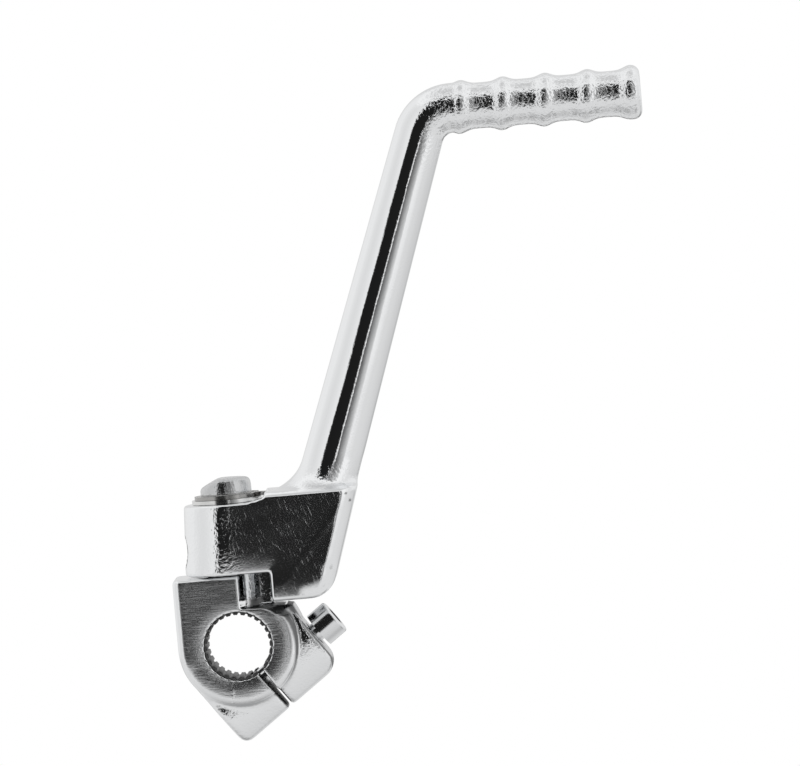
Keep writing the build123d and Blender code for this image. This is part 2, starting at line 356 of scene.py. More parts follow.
def mark(piece: bpy.types.Object, trait: Trait, share: Share) -> None:
    """Marks how much of a surface trait each point of a piece has, for its finish to read.

    Args:
        piece: the object to mark.
        trait: the surface trait.
        share: gives the trait from none, 0, to full, 1, from a point and its normal.
    """
    layer = piece.data.attributes.new(trait.value, "FLOAT", "POINT")
    layer.data.foreach_set("value", [share(v.co, v.normal) for v in piece.data.vertices])


def coat(piece: bpy.types.Object, material: bpy.types.Material) -> None:
    """Gives a piece one finish all over.

    Args:
        piece: the object to coat.
        material: its finish.
    """
    piece.data.materials.clear()
    piece.data.materials.append(material)
    LOG.info("dressed %s in %s", piece.name, material.name)


def finish_piece(
    piece: bpy.types.Object, body: Body, slot: Slot, material: bpy.types.Material, *nodes: str
) -> None:
    """Dresses a new piece and ties it to its body.

    Args:
        piece: the finished mesh.
        body: the body it moves with.
        slot: the record's material slot, which is not used.
        material: its finish.
        nodes: the CAD nodes that it stands for.
    """
    coat(piece, material)
    take(piece)
    bpy.ops.object.shade_smooth()
    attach(piece, body.value)
    if nodes:
        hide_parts(*nodes)
    LOG.info("built %s with %d faces", piece.name, len(piece.data.polygons))


@dataclass(frozen=True)
class PlatedChrome:
    """Bright chrome over a forging: a hard mirror that shows the waves, grain and lapping below it.

    The cast grain and the scratches are drawn coarser than the real ones, so that they show in the
    render. Where the surface is marked, a darker and rougher steel is painted: painted shade in the
    hollows and under the lug, a darker post top, and bare steel in small pits.
    """

    name: str
    tint: str = "#EFF0F1"
    # darker tint of the painted shade, and of bare steel in the pits
    shade_and_bare_tint: str = "#5C5C5C"
    roughness: float = 0.05
    grain_roughness: float = -0.02
    lap_roughness: float = 0.08
    shade_and_bare_roughness: float = 0.4
    wave_mm: float = 18.0
    wave_height_mm: float = 0.25
    ripple_mm: float = 3.0
    ripple_height_mm: float = 0.012
    pit_mm: float = 0.5
    pit_height_mm: float = 0.012
    grain_mm: float = 0.8
    grain_height_mm: float = 0.22
    lap_mm: tuple[float, float, float] = (0.32, 4.0, 3.2)
    lap_turn: float = math.radians(-20)
    lap_height_mm: float = 0.043
    lap_floor: float = 0.58

    def make(self) -> bpy.types.Material:
        """Builds the material.

        Returns:
            The finished material.
        """
        material = new_material(self.name)
        tree = material.node_tree
        marks = {
            trait: add_node(tree, "ShaderNodeAttribute", attribute_name=trait.value).outputs["Fac"]
            for trait in Trait
        }
        # painted shade: the darker tint where the surface is marked, which is bare steel only in the
        # arm's pits
        colour = add_node(
            tree,
            "ShaderNodeMix",
            {0: marks[Trait.SHADE_AND_BARE], 6: linear(self.tint), 7: linear(self.shade_and_bare_tint)},
            data_type="RGBA",
        )
        shader = add_node(
            tree,
            "ShaderNodeBsdfPrincipled",
            {
                "Base Color": colour.outputs[2],
                "Metallic": 1.0,
                "Roughness": self.blur(tree, marks),
                "Normal": self.relief(tree, marks),
            },
        )
        add_node(tree, "ShaderNodeOutputMaterial", {"Surface": shader.outputs[0]})
        return material

    def blur(
        self, tree: bpy.types.NodeTree, marks: dict[Trait, bpy.types.NodeSocket]
    ) -> bpy.types.NodeSocket:
        """Adds the roughness, which each trait changes where the surface is marked with it.

        Args:
            tree: the material's node tree.
            marks: the share of each trait.

        Returns:
            The roughness.
        """
        rough = self.roughness
        for trait, more in (
            (Trait.GRAIN, self.grain_roughness),
            (Trait.LAP, self.lap_roughness),
            (Trait.SHADE_AND_BARE, self.shade_and_bare_roughness),
        ):
            rough = add_node(
                tree, "ShaderNodeMath", {0: marks[trait], 1: more, 2: rough}, operation="MULTIPLY_ADD"
            ).outputs[0]
        return rough

    def relief(
        self, tree: bpy.types.NodeTree, marks: dict[Trait, bpy.types.NodeSocket]
    ) -> bpy.types.NodeSocket:
        """Adds the relief, from the long waves of polishing down to grain and scratches.

        Args:
            tree: the material's node tree.
            marks: the share of each trait.

        Returns:
            The normal of the uneven surface.
        """
        place = add_node(tree, "ShaderNodeTexCoord").outputs["Object"]
        streaks = add_node(
            tree,
            "ShaderNodeMapping",
            {
                "Vector": place,
                "Rotation": (0, self.lap_turn, 0),
                "Scale": tuple(size * MM for size in self.lap_mm),
            },
            vector_type="TEXTURE",
        ).outputs[0]
        # where the noise is read, its scale, its detail, its height and the trait that limits it
        layers = (
            (place, 1 / (self.wave_mm * MM), 0.0, self.wave_height_mm, None),
            (place, 1 / (self.ripple_mm * MM), 1.0, self.ripple_height_mm, None),
            (place, 1 / (self.pit_mm * MM), 2.0, self.pit_height_mm, None),
            (place, 1 / (self.grain_mm * MM), 2.0, self.grain_height_mm, Trait.GRAIN),
            (streaks, 1.0, 2.0, self.lap_height_mm, Trait.LAP),
        )
        normal = None
        for where, scale, detail, height, trait in layers:
            rise = add_node(
                tree, "ShaderNodeTexNoise", {"Vector": where, "Scale": scale, "Detail": detail}
            ).outputs[0]
            if trait is Trait.LAP:
                rise = add_node(
                    tree, "ShaderNodeMath", {0: rise, 1: self.lap_floor}, operation="MAXIMUM"
                ).outputs[0]
            if trait is not None:
                rise = add_node(
                    tree, "ShaderNodeMath", {0: rise, 1: marks[trait]}, operation="MULTIPLY"
                ).outputs[0]
            sockets = {"Height": rise, "Distance": height * MM, "Strength": 1.0}
            if normal is not None:
                sockets["Normal"] = normal
            normal = add_node(tree, "ShaderNodeBump", sockets).outputs[0]
        return normal


@dataclass(frozen=True)
class TurnedSteel:
    """Bare or thinly plated steel off the lathe: soft highlights broken up by fine tool marks."""

    name: str
    tint: str
    roughness: float
    mark_mm: float = 0.18
    mark_height_mm: float = 0.004

    def make(self) -> bpy.types.Material:
        """Builds the material.

        Returns:
            The finished material.
        """
        material = new_material(self.name)
        tree = material.node_tree
        place = add_node(tree, "ShaderNodeTexCoord").outputs["Object"]
        marks = add_node(
            tree, "ShaderNodeTexNoise", {"Vector": place, "Scale": 1 / (self.mark_mm * MM), "Detail": 2.0}
        )
        bump = add_node(
            tree,
            "ShaderNodeBump",
            {"Height": marks.outputs[0], "Distance": self.mark_height_mm * MM, "Strength": 1.0},
        )
        shader = add_node(
            tree,
            "ShaderNodeBsdfPrincipled",
            {
                "Base Color": linear(self.tint),
                "Metallic": 1.0,
                "Roughness": self.roughness,
                "Normal": bump.outputs[0],
            },
        )
        add_node(tree, "ShaderNodeOutputMaterial", {"Surface": shader.outputs[0]})
        return material


@dataclass(frozen=True)
class WhitePaper:
    """Matt white paper of the tent's floor: a soft, even white under the lever, which the chrome sees as
    a painted glow.

    The stops pair a share of the sheet's radius with a grey level of the painted glow, darker under the
    lever as a painted shadow.
    """

    name: str = "matt_white_paper"
    tint: str = "#F4F4F4"
    roughness: float = 0.9
    radius: float = 900 * MM
    fade_from: float = 0.3
    # painted shadow: the glow's grey levels, darkest in the middle under the lever
    tones: Stops = ((0.0, 0.36), (0.06, 0.42), (0.13, 0.66), (0.22, 0.74), (0.4, 0.8), (1.0, 0.8))
    # a painted grey patch on the glow to the right, where no card stands
    painted_patch_reach: float = 110 * MM
    painted_patch_offset: float = 2.3
    painted_patch_edge: Span = (0.4, 1.3)
    painted_patch_tone: float = 0.5

    def make(self) -> bpy.types.Material:
        """Builds the material.

        Returns:
            The finished material.
        """
        material = new_material(self.name)
        tree = material.node_tree
        place = add_node(tree, "ShaderNodeTexCoord").outputs["Object"]
        flat = add_node(tree, "ShaderNodeVectorMath", {0: place, 1: (1, 1, 0)}, operation="MULTIPLY")
        out = add_node(tree, "ShaderNodeVectorMath", {0: flat.outputs[0]}, operation="LENGTH")
        matt = {"Base Color": linear(self.tint), "Roughness": self.roughness}
        paper = add_node(tree, "ShaderNodeBsdfPrincipled", matt)
        # the chrome sees a painted glow in place of the lit paper, with a painted shadow under the lever
        # and a painted grey patch to the right
        painted_glow = add_node(
            tree,
            "ShaderNodeEmission",
            {"Color": self.shade(tree, flat.outputs[0], out.outputs["Value"]), "Strength": 1.0},
        )
        glossy = add_node(tree, "ShaderNodeLightPath").outputs["Is Glossy Ray"]
        paper_or_glow = add_node(tree, "ShaderNodeMixShader", {0: glossy, 1: paper.outputs[0], 2: painted_glow.outputs[0]})
        # the paper fades into plain white, and is clear from below, so that it never hides the lever
        fade = add_node(
            tree,
            "ShaderNodeMapRange",
            {
                "Value": out.outputs["Value"],
                "From Min": self.fade_from * self.radius,
                "From Max": self.radius,
            },
            interpolation_type="SMOOTHSTEP",
        )
        below = add_node(tree, "ShaderNodeNewGeometry").outputs["Backfacing"]
        gone = add_node(tree, "ShaderNodeMath", {0: fade.outputs[0], 1: below}, operation="MAXIMUM")
        clear = add_node(tree, "ShaderNodeBsdfTransparent")
        shader = add_node(
            tree, "ShaderNodeMixShader", {0: gone.outputs[0], 1: paper_or_glow.outputs[0], 2: clear.outputs[0]}
        )
        add_node(tree, "ShaderNodeOutputMaterial", {"Surface": shader.outputs[0]})
        return material

    def shade(
        self, tree: bpy.types.NodeTree, flat: bpy.types.NodeSocket, out: bpy.types.NodeSocket
    ) -> bpy.types.NodeSocket:
        """Adds the painted tone of the glow that the chrome sees: a painted shadow under the lever and a
        painted grey patch to the right.

        Args:
            tree: the paper's node tree.
            flat: the place on the floor.
            out: the distance from the floor's middle.

        Returns:
            The tone.
        """
        # painted shadow: the glow darkens towards the middle, under the lever
        share = add_node(
            tree, "ShaderNodeMapRange", {"Value": out, "From Min": 0.0, "From Max": self.radius}
        )
        tone = add_node(tree, "ShaderNodeValToRGB", {0: share.outputs[0]})
        set_ramp(tone.color_ramp, self.tones)
        # a painted grey patch to the right
        aside = add_node(
            tree,
            "ShaderNodeVectorMath",
            {0: flat, 1: (1 / self.painted_patch_reach, 1 / self.painted_patch_reach, 0), 2: (-self.painted_patch_offset, 0, 0)},
            operation="MULTIPLY_ADD",
        )
        off = add_node(tree, "ShaderNodeVectorMath", {0: aside.outputs[0]}, operation="LENGTH")
        inner, outer = self.painted_patch_edge
        painted_patch = add_node(
            tree,
            "ShaderNodeMapRange",
            {
                "Value": off.outputs["Value"],
                "From Min": inner,
                "From Max": outer,
                "To Min": self.painted_patch_tone,
                "To Max": 1.0,
            },
        )
        shade = add_node(
            tree, "ShaderNodeVectorMath", {0: tone.outputs[0], 3: painted_patch.outputs[0]}, operation="SCALE"
        )
        return shade.outputs[0]


@dataclass(frozen=True)
class Fittings:
    """Screw, washer, ring, ball and spring, whose CAD shapes are right as they are."""

    # bright plate, a little softer than the chrome beside it
    screw: TurnedSteel = TurnedSteel("plated_screw_steel", "#E6E7E8", 0.12)
    # zinc plate over rolled sheet, greyer, with blurred reflections
    washer: TurnedSteel = TurnedSteel("rolled_washer_steel", "#DCDCDB", 0.16)
    # hardened spring steel, the darkest and the most blurred
    spring: TurnedSteel = TurnedSteel("dark_spring_steel", "#A9A8A6", 0.24)
    # ground and lapped ball, a clear mirror
    ball: TurnedSteel = TurnedSteel("ground_ball_steel", "#D2D2D2", 0.08, mark_height_mm=0.001)

    def dress(self, nodes: dict[str, bpy.types.Object]) -> None:
        """Dresses the CAD nodes.

        Args:
            nodes: the CAD nodes by name.
        """
        sprung = self.spring.make()
        coat(nodes["pinch_screw"], self.screw.make())
        coat(nodes["thrust_washer"], self.washer.make())
        coat(nodes["circlip"], sprung)
        coat(nodes["detent_ball"], self.ball.make())
        coat(nodes["detent_spring"], sprung)


@dataclass
class ForgedArm:
    """Arm with its ribbed pedal and base block: one forging, its edges softened by polishing."""

    # bar and bend
    lean: float = math.radians(19.9)
    foot_x: float = 30.66 * MM
    foot_z: float = 50.66 * MM
    foot_radius: float = 7.95 * MM
    top_radius: float = 6.8 * MM
    bend_radius: float = 10.0 * MM
    bend_steps: int = 14
    facets: int = 56
    # pedal
    pedal_z: float = 141.1 * MM
    rib_count: int = 5
    rib_lead: float = 2.5 * MM
    rib_pitch: float = 11.55 * MM
    rib_radius: float = 7.5 * MM
    waist_radius: float = 6.3 * MM
    rib_sharpness: float = 3.4
    rib_tilt: float = math.radians(4.5)
    rings_per_rib: int = 10
    tail: float = 3.3 * MM
    tail_round: float = 2.4 * MM
    tail_turns: tuple[float, ...] = (0, 20, 40, 60, 75, 90)
    # flare of the bar's foot
    flare_height: float = 8.2 * MM
    flare_left: float = 9.6 * MM
    flare_front: float = 4.6 * MM
    flare_sink: float = 0.9 * MM
    flare_turns: tuple[float, ...] = (90, 78, 66, 54, 42, 30, 20, 10, 0)
    # block
    block_top: float = 41.4 * MM
    block_skim: float = 0.02 * MM
    face_y: float = 12.65 * MM
    pivot_radius: float = 7.4 * MM
    block_floor: float = 19.6 * MM
    lug_floor: float = 11.5 * MM
    step_x: float = 10.6 * MM
    # softening
    voxel: float = 0.435 * MM
    smoothing: int = 4
    foot_smoothing: int = 60
    foot_rise: Span = (39.8 * MM, 41.5 * MM)
    foot_fall: Span = (52 * MM, 46 * MM)
    foot_side: Span = (10 * MM, 16 * MM)
    heel_rise: Span = (35 * MM, 38 * MM)
    heel_side: Span = (31 * MM, 34 * MM)
    # edges that polishing has rolled over
    edge_roll: float = 0.34 * MM
    edge_reach: float = 7.0 * MM
    edge_depth: float = 1.5 * MM
    edge_band: float = 0.7 * MM
    corner_x: float = 20.2 * MM
    corner_z: float = 19.0 * MM
    corner_radius: float = 7.5 * MM
    corner_roll: float = 0.38 * MM
    corner_reach: float = 3.4 * MM
    corner_depth: float = 2.5 * MM
    corner_band: float = 1.1 * MM
    # cast grain
    pedal_grain_x: Span = (59 * MM, 67 * MM)
    pedal_grain_z: Span = (122 * MM, 130 * MM)
    end_grain: float = 0.15
    end_facing: Span = (0.95, 0.8)
    foot_grain: float = 0.5
    foot_grain_low: Span = (40 * MM, 42 * MM)
    foot_grain_high: Span = (49 * MM, 46 * MM)
    eye_grain: float = 0.42
    eye_grain_x: Span = (5 * MM, -1.2 * MM)
    eye_grain_top: Span = (42 * MM, 40 * MM)
    eye_facing: Span = (0.9, 0.6)
    # lapped faces
    lap_facing: Span = (0.9, 0.97)
    lap_top: Span = (41 * MM, 40 * MM)
    lap_left: Span = (-1 * MM, 0.5 * MM)
    # painted shade in the detent's hole, and bare steel in two pits
    hole_z: float = 26.5 * MM
    hole_radius: float = 3.95 * MM
    hole_x: Span = (-4 * MM, -5 * MM)
    hole_rim: Span = (1.3 * MM, 0.7 * MM)
    pits: tuple[tuple[float, float], ...] = ((33.0 * MM, 39.3 * MM), (33.9 * MM, 37.3 * MM))
    pit_reach: Span = (0.5 * MM, 0.2 * MM)
    pit_share: float = 0.9

    @property
    def bend_trim(self) -> float:
        """How far the bend begins before the corner that the bar's and pedal's lines make."""
        return self.bend_radius * math.tan((math.pi / 2 - self.lean) / 2)

    @property
    def bend_start(self) -> Vector:
        """Where the straight bar ends and the bend begins."""
        corner = Vector((self.axis_x(self.pedal_z), 0, self.pedal_z))
        return corner - self.bend_trim * Vector((math.sin(self.lean), 0, math.cos(self.lean)))

    def axis_x(self, z: float) -> float:
        """X of the arm's centre line at height z."""
        return self.foot_x + (z - self.foot_z) * math.tan(self.lean)

    def radius(self, z: float) -> float:
        """Radius of the tapered bar where its centre line is at height z."""
        share = (z - self.foot_z) / (self.bend_start.z - self.foot_z)
        return self.foot_radius + (self.top_radius - self.foot_radius) * share

    def push_ring(self, start: Vector, end: Vector, scale: tuple[float, float, float]) -> None:
        """Extrudes the selected ring from one centre to the next and scales it there."""
        bpy.ops.mesh.extrude_region_move(TRANSFORM_OT_translate={"value": end - start})
        bpy.ops.transform.resize(value=scale, center_override=end)

    def tip_ring(self, turn: float, centre: Vector) -> None:
        """Tips the selected ring about the Y line through its centre.

        Args:
            turn: the angle, against the right-hand rule, as the operator takes it with no window.
            centre: the ring's centre.
        """
        bpy.ops.transform.rotate(
            value=turn, orient_axis="Y", orient_type="GLOBAL", center_override=centre
        )

    def raise_bar(self, start_z: float) -> None:
        """Extrudes the level ring at the bar's foot up to the bend and spins it round the bend.

        Args:
            start_z: height of the ring that is selected.
        """
        foot = Vector((self.axis_x(start_z), 0, start_z))
        taper = self.top_radius / self.radius(start_z)
        self.push_ring(foot, self.bend_start, (taper * math.cos(self.lean), taper, taper))
        self.tip_ring(-self.lean, self.bend_start)
        side = Vector((math.cos(self.lean), 0, -math.sin(self.lean)))
        bpy.ops.mesh.spin(
            steps=self.bend_steps,
            angle=-(math.pi / 2 - self.lean + self.rib_tilt),
            center=self.bend_start + side * self.bend_radius,
            axis=(0, 1, 0),
        )

    def draw_pedal(self) -> None:
        """Extrudes the ring at the end of the bend along the ribs and closes it with a rounded end."""
        bend_end = self.axis_x(self.pedal_z) + self.bend_trim
        drop = self.bend_radius * (1 - math.cos(self.rib_tilt))
        past = self.bend_radius * math.sin(self.rib_tilt)
        centre = Vector((bend_end + past, 0, self.pedal_z - drop))
        size = self.top_radius
        first = bend_end + self.rib_lead
        for ring in range(-1, self.rings_per_rib * (self.rib_count - 1) + 1):
            wave = ring / self.rings_per_rib
            swell = ((1 + math.cos(2 * math.pi * wave)) / 2) ** self.rib_sharpness
            radius = self.waist_radius + (self.rib_radius - self.waist_radius) * swell
            there = Vector((first + self.rib_pitch * wave, 0, self.pedal_z))
            self.push_ring(centre, there, (radius / size,) * 3)
            centre, size = there, radius
        self.tip_ring(self.rib_tilt / 2, centre)
        end_x = first + self.rib_pitch * (self.rib_count - 1) + self.tail
        for turn in self.tail_turns:
            out = math.sin(math.radians(turn))
            shrink = 1 - math.cos(math.radians(turn))
            radius = self.rib_radius - self.tail_round * shrink
            there = Vector((end_x - self.tail_round * (1 - out), 0, self.pedal_z))
            self.push_ring(centre, there, (radius / size,) * 3)
            if turn == 0:
                self.tip_ring(self.rib_tilt / 2, there)
            centre, size = there, radius
        bpy.ops.mesh.edge_face_add()

    def spread_foot(self, start_z: float) -> None:
        """Extrudes the level ring at the bar's foot down into the block, flaring to left and front.

        Args:
            start_z: height of the ring that is selected.
        """
        low = self.block_top - self.flare_sink
        centre = Vector((self.axis_x(start_z), 0, start_z))
        half = self.radius(start_z)
        size = (half / math.cos(self.lean), half)
        for turn in self.flare_turns:
            spread = 1 - math.sin(math.radians(turn))
            z = low + self.flare_height * (1 - math.cos(math.radians(turn)))
            wide = self.radius(z) / math.cos(self.lean) + self.flare_left * spread / 2
            deep = self.radius(z) + self.flare_front * spread
            there = Vector((self.axis_x(z) - self.flare_left * spread / 2, 0, z))
            self.push_ring(centre, there, (wide / size[0], deep / size[1], 1))
            centre, size = there, (wide, deep)
        bpy.ops.mesh.edge_face_add()

    def build_bar(self) -> bpy.types.Object:
        """Models the flared foot, bar, bend and pedal as one closed tube.

        Returns:
            The tube.
        """
        start_z = self.block_top + 2 * self.flare_height
        half = self.radius(start_z)
        centre = (self.axis_x(start_z), 0, start_z)
        bpy.ops.object.select_all(action="DESELECT")
        bpy.ops.mesh.primitive_circle_add(vertices=self.facets, radius=half, location=centre)
        bar = bpy.context.object
        bar.name = "arm_bar"
        bpy.ops.object.transform_apply()
        bpy.ops.object.mode_set(mode="EDIT")
        bpy.ops.mesh.select_all(action="SELECT")
        bpy.ops.transform.resize(value=(1 / math.cos(self.lean), 1, 1), center_override=centre)
        self.raise_bar(start_z)
        self.draw_pedal()
        select_edges(bar, lambda place: abs(place.z - start_z) < NEAR)
        self.spread_foot(start_z)
        bpy.ops.mesh.select_all(action="SELECT")
        bpy.ops.mesh.normals_make_consistent(inside=False)
        bpy.ops.object.mode_set(mode="OBJECT")
        apply_modifier(bar, "SUBSURF", levels=2, render_levels=2)
        return bar

    def build_block(self, node: bpy.types.Object) -> bpy.types.Object:
        """Cuts the base block off a copy of the CAD arm and opens its pivot hole a little.

        Args:
            node: the CAD arm.

        Returns:
            The block as a closed mesh.
        """
        block = merged_copy(node, "forged_arm")
        bpy.ops.object.mode_set(mode="EDIT")
        for point, outward in (
            ((0, 0, self.block_top - self.block_skim), (0, 0, 1)),
            ((0, -self.face_y, 0), (0, -1, 0)),
            ((0, self.face_y, 0), (0, 1, 0)),
        ):
            bpy.ops.mesh.select_all(action="SELECT")
            bpy.ops.mesh.bisect(plane_co=point, plane_no=outward, use_fill=True, clear_outer=True)
        bpy.ops.object.mode_set(mode="OBJECT")
        drill(block, self.pivot_radius, 2 * self.block_top, (0, 0, self.block_top))
        return block

    def build(self, node: bpy.types.Object) -> bpy.types.Object:
        """Joins the bar and the block into one softened forging.

        Args:
            node: the CAD arm.

        Returns:
            The forging.
        """
        bar = self.build_bar()
        forging = self.build_block(node)
        take(forging)
        bar.select_set(True)
        bpy.ops.object.join()
        apply_modifier(forging, "REMESH", mode="VOXEL", voxel_size=self.voxel)
        apply_modifier(forging, "SMOOTH", factor=SMOOTH_STEP, iterations=self.smoothing)
        soften(forging, self.foot_share, self.foot_smoothing)
        roll_edge(forging, self.is_lower_edge, self.edge_roll / self.face_y, self.edge_reach)
        roll_edge(forging, self.is_lug_corner, self.corner_roll / self.face_y, self.corner_reach)
        return forging

    def dress(
        self, forging: bpy.types.Object, node: bpy.types.Object, finish: bpy.types.Material
    ) -> None:
        """Marks the forging's traits, and dresses it and the CAD arm that it stands for.

        Args:
            forging: the built forging.
            node: the CAD arm.
            finish: the chrome plate.
        """
        mark(forging, Trait.GRAIN, self.grain_share)
        mark(forging, Trait.LAP, self.lap_share)
        mark(forging, Trait.SHADE_AND_BARE, self.shade_and_bare_share)
        coat(node, finish)
        finish_piece(forging, Body.ARM, Slot.ARM, finish, "kick_arm")

    def is_lower_edge(self, place: Vector) -> bool:
        """Whether a place is on the lower edge of one of the block's two faces."""
        floor = self.lug_floor if place.x > self.step_x else self.block_floor
        return abs(place.y) > self.face_y - self.edge_depth and abs(place.z - floor) < self.edge_band

    def is_lug_corner(self, place: Vector) -> bool:
        """Whether a place is at the lug's lower right corner on one of the block's two faces.

        Args:
            place: a point of the mesh.

        Returns:
            Whether it is there.
        """
        away = math.hypot(place.x - self.corner_x, place.z - self.corner_z)
        outer = place.x > self.corner_x and place.z < self.corner_z
        at_rim = away > self.corner_radius - self.corner_band
        return outer and at_rim and abs(place.y) > self.face_y - self.corner_depth

    def foot_share(self, place: Vector) -> float:
        """How much the polishing has run the bar's foot and the block's top together at a place.

        Args:
            place: a point of the mesh.

        Returns:
            The share, from 0 to 1.
        """
        top = ease(place.z, *self.foot_rise)
        heel = ease(place.z, *self.heel_rise) * ease(place.x, *self.heel_side)
        return max(top, heel) * ease(place.z, *self.foot_fall) * ease(place.x, *self.foot_side)

    def grain_share(self, place: Vector, normal: Vector) -> float:
        """How much cast grain is left: all on the pedal but its end, some on the foot and the eye.

        Args:
            place: a point of the mesh.
            normal: the surface's normal there.

        Returns:
            The share, from 0 to 1.
        """
        pedal = ease(place.x, *self.pedal_grain_x) * ease(place.z, *self.pedal_grain_z)
        pedal *= self.end_grain + (1 - self.end_grain) * ease(normal.x, *self.end_facing)
        foot = ease(place.z, *self.foot_grain_low) * ease(place.z, *self.foot_grain_high)
        eye = ease(place.x, *self.eye_grain_x) * ease(place.z, *self.eye_grain_top)
        eye *= ease(abs(normal.z), *self.eye_facing)
        return max(pedal, self.foot_grain * foot, self.eye_grain * eye)

    def lap_share(self, place: Vector, normal: Vector) -> float:
        """How much the lapping of the block's flat faces shows at a place."""
        flat = ease(abs(normal.y), *self.lap_facing)
        return flat * ease(place.z, *self.lap_top) * ease(place.x, *self.lap_left)

    def shade_and_bare_share(self, place: Vector, _normal: Vector) -> float:
        """How dark the surface is painted: painted shade in the detent's open hole, and bare steel in two
        pits at the parting line.

        Args:
            place: a point of the mesh.
            _normal: the surface's normal there, which makes no difference here.

        Returns:
            The share, from 0 to 1.
        """
        off_hole = math.hypot(place.y, place.z - self.hole_z) - self.hole_radius
        # painted shade inside the detent's open hole and round its rim
        shares = [ease(place.x, *self.hole_x) * ease(off_hole, *self.hole_rim)]
        if place.y < 0:
            away = [math.hypot(place.x - x, place.z - z) for x, z in self.pits]
            shares += [self.pit_share * ease(off, *self.pit_reach) for off in away]
        return max(shares)


@dataclass
class ClampKnuckle:
    """Clamp knuckle with its pivot post, softened by polishing and brushed on its two faces."""

    bore_radius: float = 9.25 * MM
    drill_length: float = 60 * MM
    face_y: float = 9.6 * MM
    slit_turn: float = SLIT_TURN
    # softening of the ears and of the post's top
    voxel: float = 0.33 * MM
    smoothing: int = 3
    ear_smoothing: int = 60
    ear_reach: Span = (15.8 * MM, 17.5 * MM)
    ear_top: Span = (6 * MM, 3 * MM)
    ear_inset: Span = (0.2 * MM, -0.5 * MM)
    head_soft: Span = (42.3 * MM, 43.3 * MM)
    # edges that polishing has rolled over
    dish: float = 0.02
    dish_reach: float = 3.6 * MM
    dish_depth: float = 0.5 * MM
    dish_band: float = 0.4 * MM
    rim_radius: float = 15.2 * MM
    rim_roll: float = 0.03
    rim_reach: float = 4.5 * MM
    rim_depth: float = 0.4 * MM
    rim_top: float = 9 * MM
    rim_slope: float = 2.0
    shoulder_drop: float = 1.9 * MM
    shoulder_reach: float = 4.5 * MM
    shoulder_depth: float = 0.7 * MM
    shoulder_x: Span = (11.0 * MM, 16.0 * MM)
    shoulder_z: Span = (9.3 * MM, 12.0 * MM)
    # brushed faces
    lap_inset: Span = (-0.5 * MM, 0.0)
    lap_facing: Span = (0.75, 0.95)
    # cast grain
    ear_grain: float = 0.35
    ear_grain_inset: Span = (0.0, -0.5 * MM)
    ear_facing: Span = (0.5, 0.8)
    head_grain: float = 0.9
    head_grain_z: Span = (44 * MM, 45 * MM)
    neck_grain: float = 0.6
    neck_grain_z: Span = (10.5 * MM, 11.5 * MM)
    neck_grain_r: Span = (8 * MM, 7.5 * MM)
    scratch_grain: float = 0.7
    scratch_x: float = -2.6 * MM
    scratch_z: Span = (-15.0 * MM, -12.0 * MM)
    scratch_width: Span = (0.6 * MM, 0.2 * MM)
    # painted shade in the slit, under the lug and on the screw's seat, and a darker post top
    wall_facing: Span = (0.8, 0.95)
    wall_reach: Span = (1.5 * MM, 1.25 * MM)
    seat_shade: float = 0.9
    seat_flat: float = 0.4
    seat_facing: Span = (0.3, 0.55)
    seat_square: Span = (0.98, 0.85)
    seat_x: Span = (3 * MM, 4.5 * MM)
    seat_top: Span = (12.6 * MM, 12.2 * MM)
    seat_r: Span = (9.8 * MM, 10.2 * MM)
    head_share: float = 0.36
    head_darkening_z: Span = (41.2 * MM, 41.8 * MM)

    def build(self, node: bpy.types.Object) -> bpy.types.Object:
        """Softens a copy of the CAD knuckle and opens its bore for the splined lining.

        Args:
            node: the CAD knuckle.

        Returns:
            The softened knuckle.
        """
        knuckle = merged_copy(node, "plated_knuckle")
        drill(knuckle, self.bore_radius, self.drill_length, turn=(math.pi / 2, 0, 0))
        apply_modifier(knuckle, "REMESH", mode="VOXEL", voxel_size=self.voxel)
        apply_modifier(knuckle, "SMOOTH", factor=SMOOTH_STEP, iterations=self.smoothing)
        soften(knuckle, self.soft_share, self.ear_smoothing)
        roll_edge(knuckle, self.is_mouth, self.dish, self.dish_reach)
        roll_edge(knuckle, self.is_right_rim, self.rim_roll, self.rim_reach)
        drop = (0, 0, -self.shoulder_drop)
        draw_edge(
            knuckle, self.is_shoulder, self.shoulder_reach, bpy.ops.transform.translate, value=drop
        )
        return knuckle

    def dress(
        self, knuckle: bpy.types.Object, node: bpy.types.Object, finish: bpy.types.Material
    ) -> None:
        """Marks the knuckle's traits, and dresses it and the CAD knuckle that it stands for.

        Args:
            knuckle: the built knuckle.
            node: the CAD knuckle.
            finish: the brushed chrome plate.
        """
        mark(knuckle, Trait.LAP, self.lap_share)
        mark(knuckle, Trait.GRAIN, self.grain_share)
        mark(knuckle, Trait.SHADE_AND_BARE, self.shade_and_bare_share)
        coat(node, finish)
        finish_piece(knuckle, Body.KNUCKLE, Slot.KNUCKLE, finish, "clamp_knuckle")

    def is_mouth(self, place: Vector) -> bool:
        """Whether a place is on the edge of one of the bore's two mouths."""
        inner = math.hypot(place.x, place.z) < self.bore_radius + self.dish_band
        return inner and abs(place.y) > self.face_y - self.dish_depth

    def is_right_rim(self, place: Vector) -> bool:
        """Whether a place is on the right or lower rim of one of the two faces.

        Args:
            place: a point of the mesh.

        Returns:
            Whether it is there.
        """
        outer = math.hypot(place.x, place.z) > self.rim_radius
        right = place.x > self.rim_slope * place.z and place.z < self.rim_top
        return outer and right and abs(place.y) > self.face_y - self.rim_depth

    def is_shoulder(self, place: Vector) -> bool:
        """Whether a place is on the front edge of the shoulder under the lug.

        Args:
            place: a point of the mesh.

        Returns:
            Whether it is there.
        """
        left, right = self.shoulder_x
        low, high = self.shoulder_z
        front = place.y < -(self.face_y - self.shoulder_depth)
        return front and left < place.x < right and low < place.z < high

